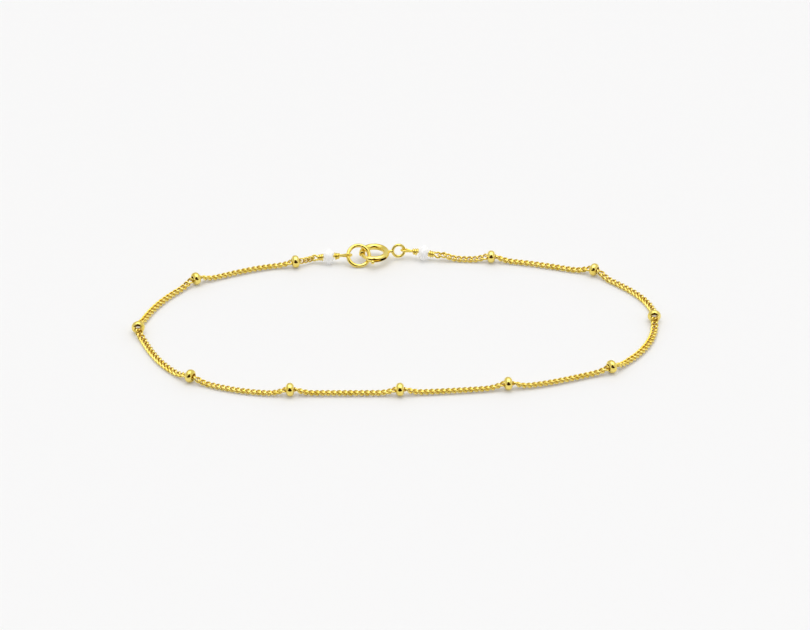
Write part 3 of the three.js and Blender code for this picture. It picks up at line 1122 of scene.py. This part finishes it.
class BRACELET_OT_clasp_trigger(bpy.types.Operator):
    """Makes the bolt that closes the gap, with its stem and thumb knob"""

    bl_idname = "bracelet.clasp_trigger"
    bl_label = "Clasp trigger"

    def execute(self, context):
        knob = context.scene.bracelet_clasp.knob
        bolt = tube(arc_points(CLASP_RADIUS, BOLT_FROM, BOLT_TO), BOLT_RADIUS, BOLT_SIDES, dome=False)
        at = CLASP_RADIUS + CLASP_TUBE + KNOB_STAND_OFF
        turns = np.linspace(KNOB_BALL_FROM, KNOB_BALL_TO, KNOB_ROWS)
        ball = [(at + knob * math.sin(a), knob * math.cos(a)) for a in turns]
        verts, faces = lathe([(CLASP_RADIUS, KNOB_STEM), (at - knob, KNOB_STEM), *ball], KNOB_SIDES)
        way = along(KNOB_AT)
        stem = placed(verts, way, np.cross(UP, way), UP, np.zeros(3))
        mesh = carve("clasp_trigger_bolt", bolt, (("UNION", (stem, faces)),))
        mesh.transform(matrix_of(clasp_axes(), clasp_centre()))
        smooth_with_edges(mesh, CLASP_EDGE)
        material = gold_material("polished_clasp")
        add_piece("clasp_trigger_bolt", mesh, material, "gold_clasp", TRIGGER_BODY, "clasp_trigger")
        return {"FINISHED"}


# Stage

def light_tent(settings):
    """A white tent round the bracelet, brightest overhead, with a dark opening at the front."""
    world = bpy.data.worlds.new("light_tent")
    world.use_nodes = True
    tree = world.node_tree
    way = tree.nodes.new("ShaderNodeTexCoord").outputs["Generated"]
    split = add_node(tree, "ShaderNodeSeparateXYZ", {"Vector": way}).outputs
    front = add_math(tree, "MULTIPLY", split["Y"], -1.0)
    aside = add_math(tree, "ABSOLUTE", add_math(tree, "ARCTAN2", split["X"], front))
    height = add_math(tree, "ARCSINE", split["Z"])
    half = add_range(tree, height, (0.0, OPENING_TOP), (settings.opening, 0.0), "LINEAR")
    past = add_math(tree, "SUBTRACT", aside, half)
    tent = add_range(tree, past, (-OPENING_EDGE, OPENING_EDGE), (0.0, 1.0))
    lights = (settings.side_light, settings.top_light)
    overhead = add_range(tree, height, (OVERHEAD_FROM, OVERHEAD_TO), lights)
    right = add_math(tree, "MULTIPLY_ADD", split["X"], RIGHT_SHARE)
    right.node.inputs[2].default_value = 1.0
    bright = add_math(tree, "MULTIPLY", overhead, right)
    cloth = add_node(tree, "ShaderNodeMix", data_type="RGBA")
    cloth.inputs["A"].default_value = (*settings.opening_colour, 1.0)
    cloth.inputs["B"].default_value = (1.0, 1.0, 1.0, 1.0)
    tree.links.new(tent, cloth.inputs["Factor"])
    tree.links.new(cloth.outputs["Result"], tree.nodes["Background"].inputs["Color"])
    tree.links.new(bright, tree.nodes["Background"].inputs["Strength"])
    return world


class BRACELET_OT_stage(bpy.types.Operator):
    """Sets the white floor, the light tent and the camera"""

    bl_idname = "bracelet.stage"
    bl_label = "Stage"

    def execute(self, context):
        scene = context.scene
        settings = scene.bracelet_stage
        corners = np.array([(x, y, 0) for x, y in ((-1, -1), (1, -1), (1, 1), (-1, 1))]) * FLOOR_HALF
        floor = bpy.data.objects.new("floor", make_mesh("floor", corners, [[0, 1, 2, 3]]))
        scene.collection.objects.link(floor)
        look = Surface(
            colour=settings.floor, cloud_colour=settings.floor, recess_colour=settings.floor,
            cloud_scale=40.0, mark_scale=400.0, gloss=0.55, dull=0.65, depth=0.0,
        )
        floor.data.materials.append(
            surface_material(
                "white_floor", look,
                Emission_Color=(1.0, 1.0, 1.0, 1.0), Emission_Strength=settings.floor_glow,
            )
        )
        scene.world = light_tent(settings)
        scene.view_settings.view_transform = "Standard"
        lens = bpy.data.cameras.new("camera")
        lens.lens = CAMERA_LENS
        lens.clip_start = CAMERA_CLIP
        camera = bpy.data.objects.new("camera", lens)
        tilt = math.radians(CAMERA_ELEVATION)
        back = np.array((0.0, -math.cos(tilt), math.sin(tilt)))
        camera.location = CAMERA_TARGET + back * CAMERA_DISTANCE
        camera.rotation_euler = (math.pi / 2 - tilt, 0.0, 0.0)
        scene.collection.objects.link(camera)
        scene.camera = camera
        return {"FINISHED"}


class BRACELET_PT_sidebar(bpy.types.Panel):
    """The bracelet's sizes and finishes, and a button for each of its pieces"""

    bl_idname = "BRACELET_PT_sidebar"
    bl_label = "Satellite chain bracelet"
    bl_space_type = "VIEW_3D"
    bl_region_type = "UI"
    bl_category = "Bracelet"

    def draw(self, context):
        for name, group in SETTINGS:
            box = self.layout.box()
            for field in group.__annotations__:
                box.prop(getattr(context.scene, name), field)
        for operator in OPERATORS:
            self.layout.operator(operator.bl_idname)


SETTINGS = (
    ("bracelet_chain", CurbChainSizes),
    ("bracelet_beads", BeadSizes),
    ("bracelet_stones", StoneSizes),
    ("bracelet_wires", WireSizes),
    ("bracelet_clasp", ClaspSizes),
    ("bracelet_finishes", Finishes),
    ("bracelet_stage", StageSettings),
)
OPERATORS = (
    BRACELET_OT_curb_chain,
    BRACELET_OT_satellite_beads,
    BRACELET_OT_stones,
    BRACELET_OT_wrapped_wires,
    BRACELET_OT_jump_ring,
    BRACELET_OT_clasp_ring,
    BRACELET_OT_clasp_trigger,
    BRACELET_OT_stage,
)


def register():
    for name, group in SETTINGS:
        bpy.utils.register_class(group)
        setattr(bpy.types.Scene, name, PointerProperty(type=group))
    for operator in OPERATORS:
        bpy.utils.register_class(operator)
    bpy.utils.register_class(BRACELET_PT_sidebar)


def unregister():
    bpy.utils.unregister_class(BRACELET_PT_sidebar)
    for operator in reversed(OPERATORS):
        bpy.utils.unregister_class(operator)
    for name, group in reversed(SETTINGS):
        delattr(bpy.types.Scene, name)
        bpy.utils.unregister_class(group)


def main():
    register()
    bpy.ops.bracelet.curb_chain()
    bpy.ops.bracelet.satellite_beads()
    bpy.ops.bracelet.stones()
    bpy.ops.bracelet.wrapped_wires()
    bpy.ops.bracelet.jump_ring()
    bpy.ops.bracelet.clasp_ring()
    bpy.ops.bracelet.clasp_trigger()
    bpy.ops.bracelet.stage()


if __name__ == "__main__":
    main()
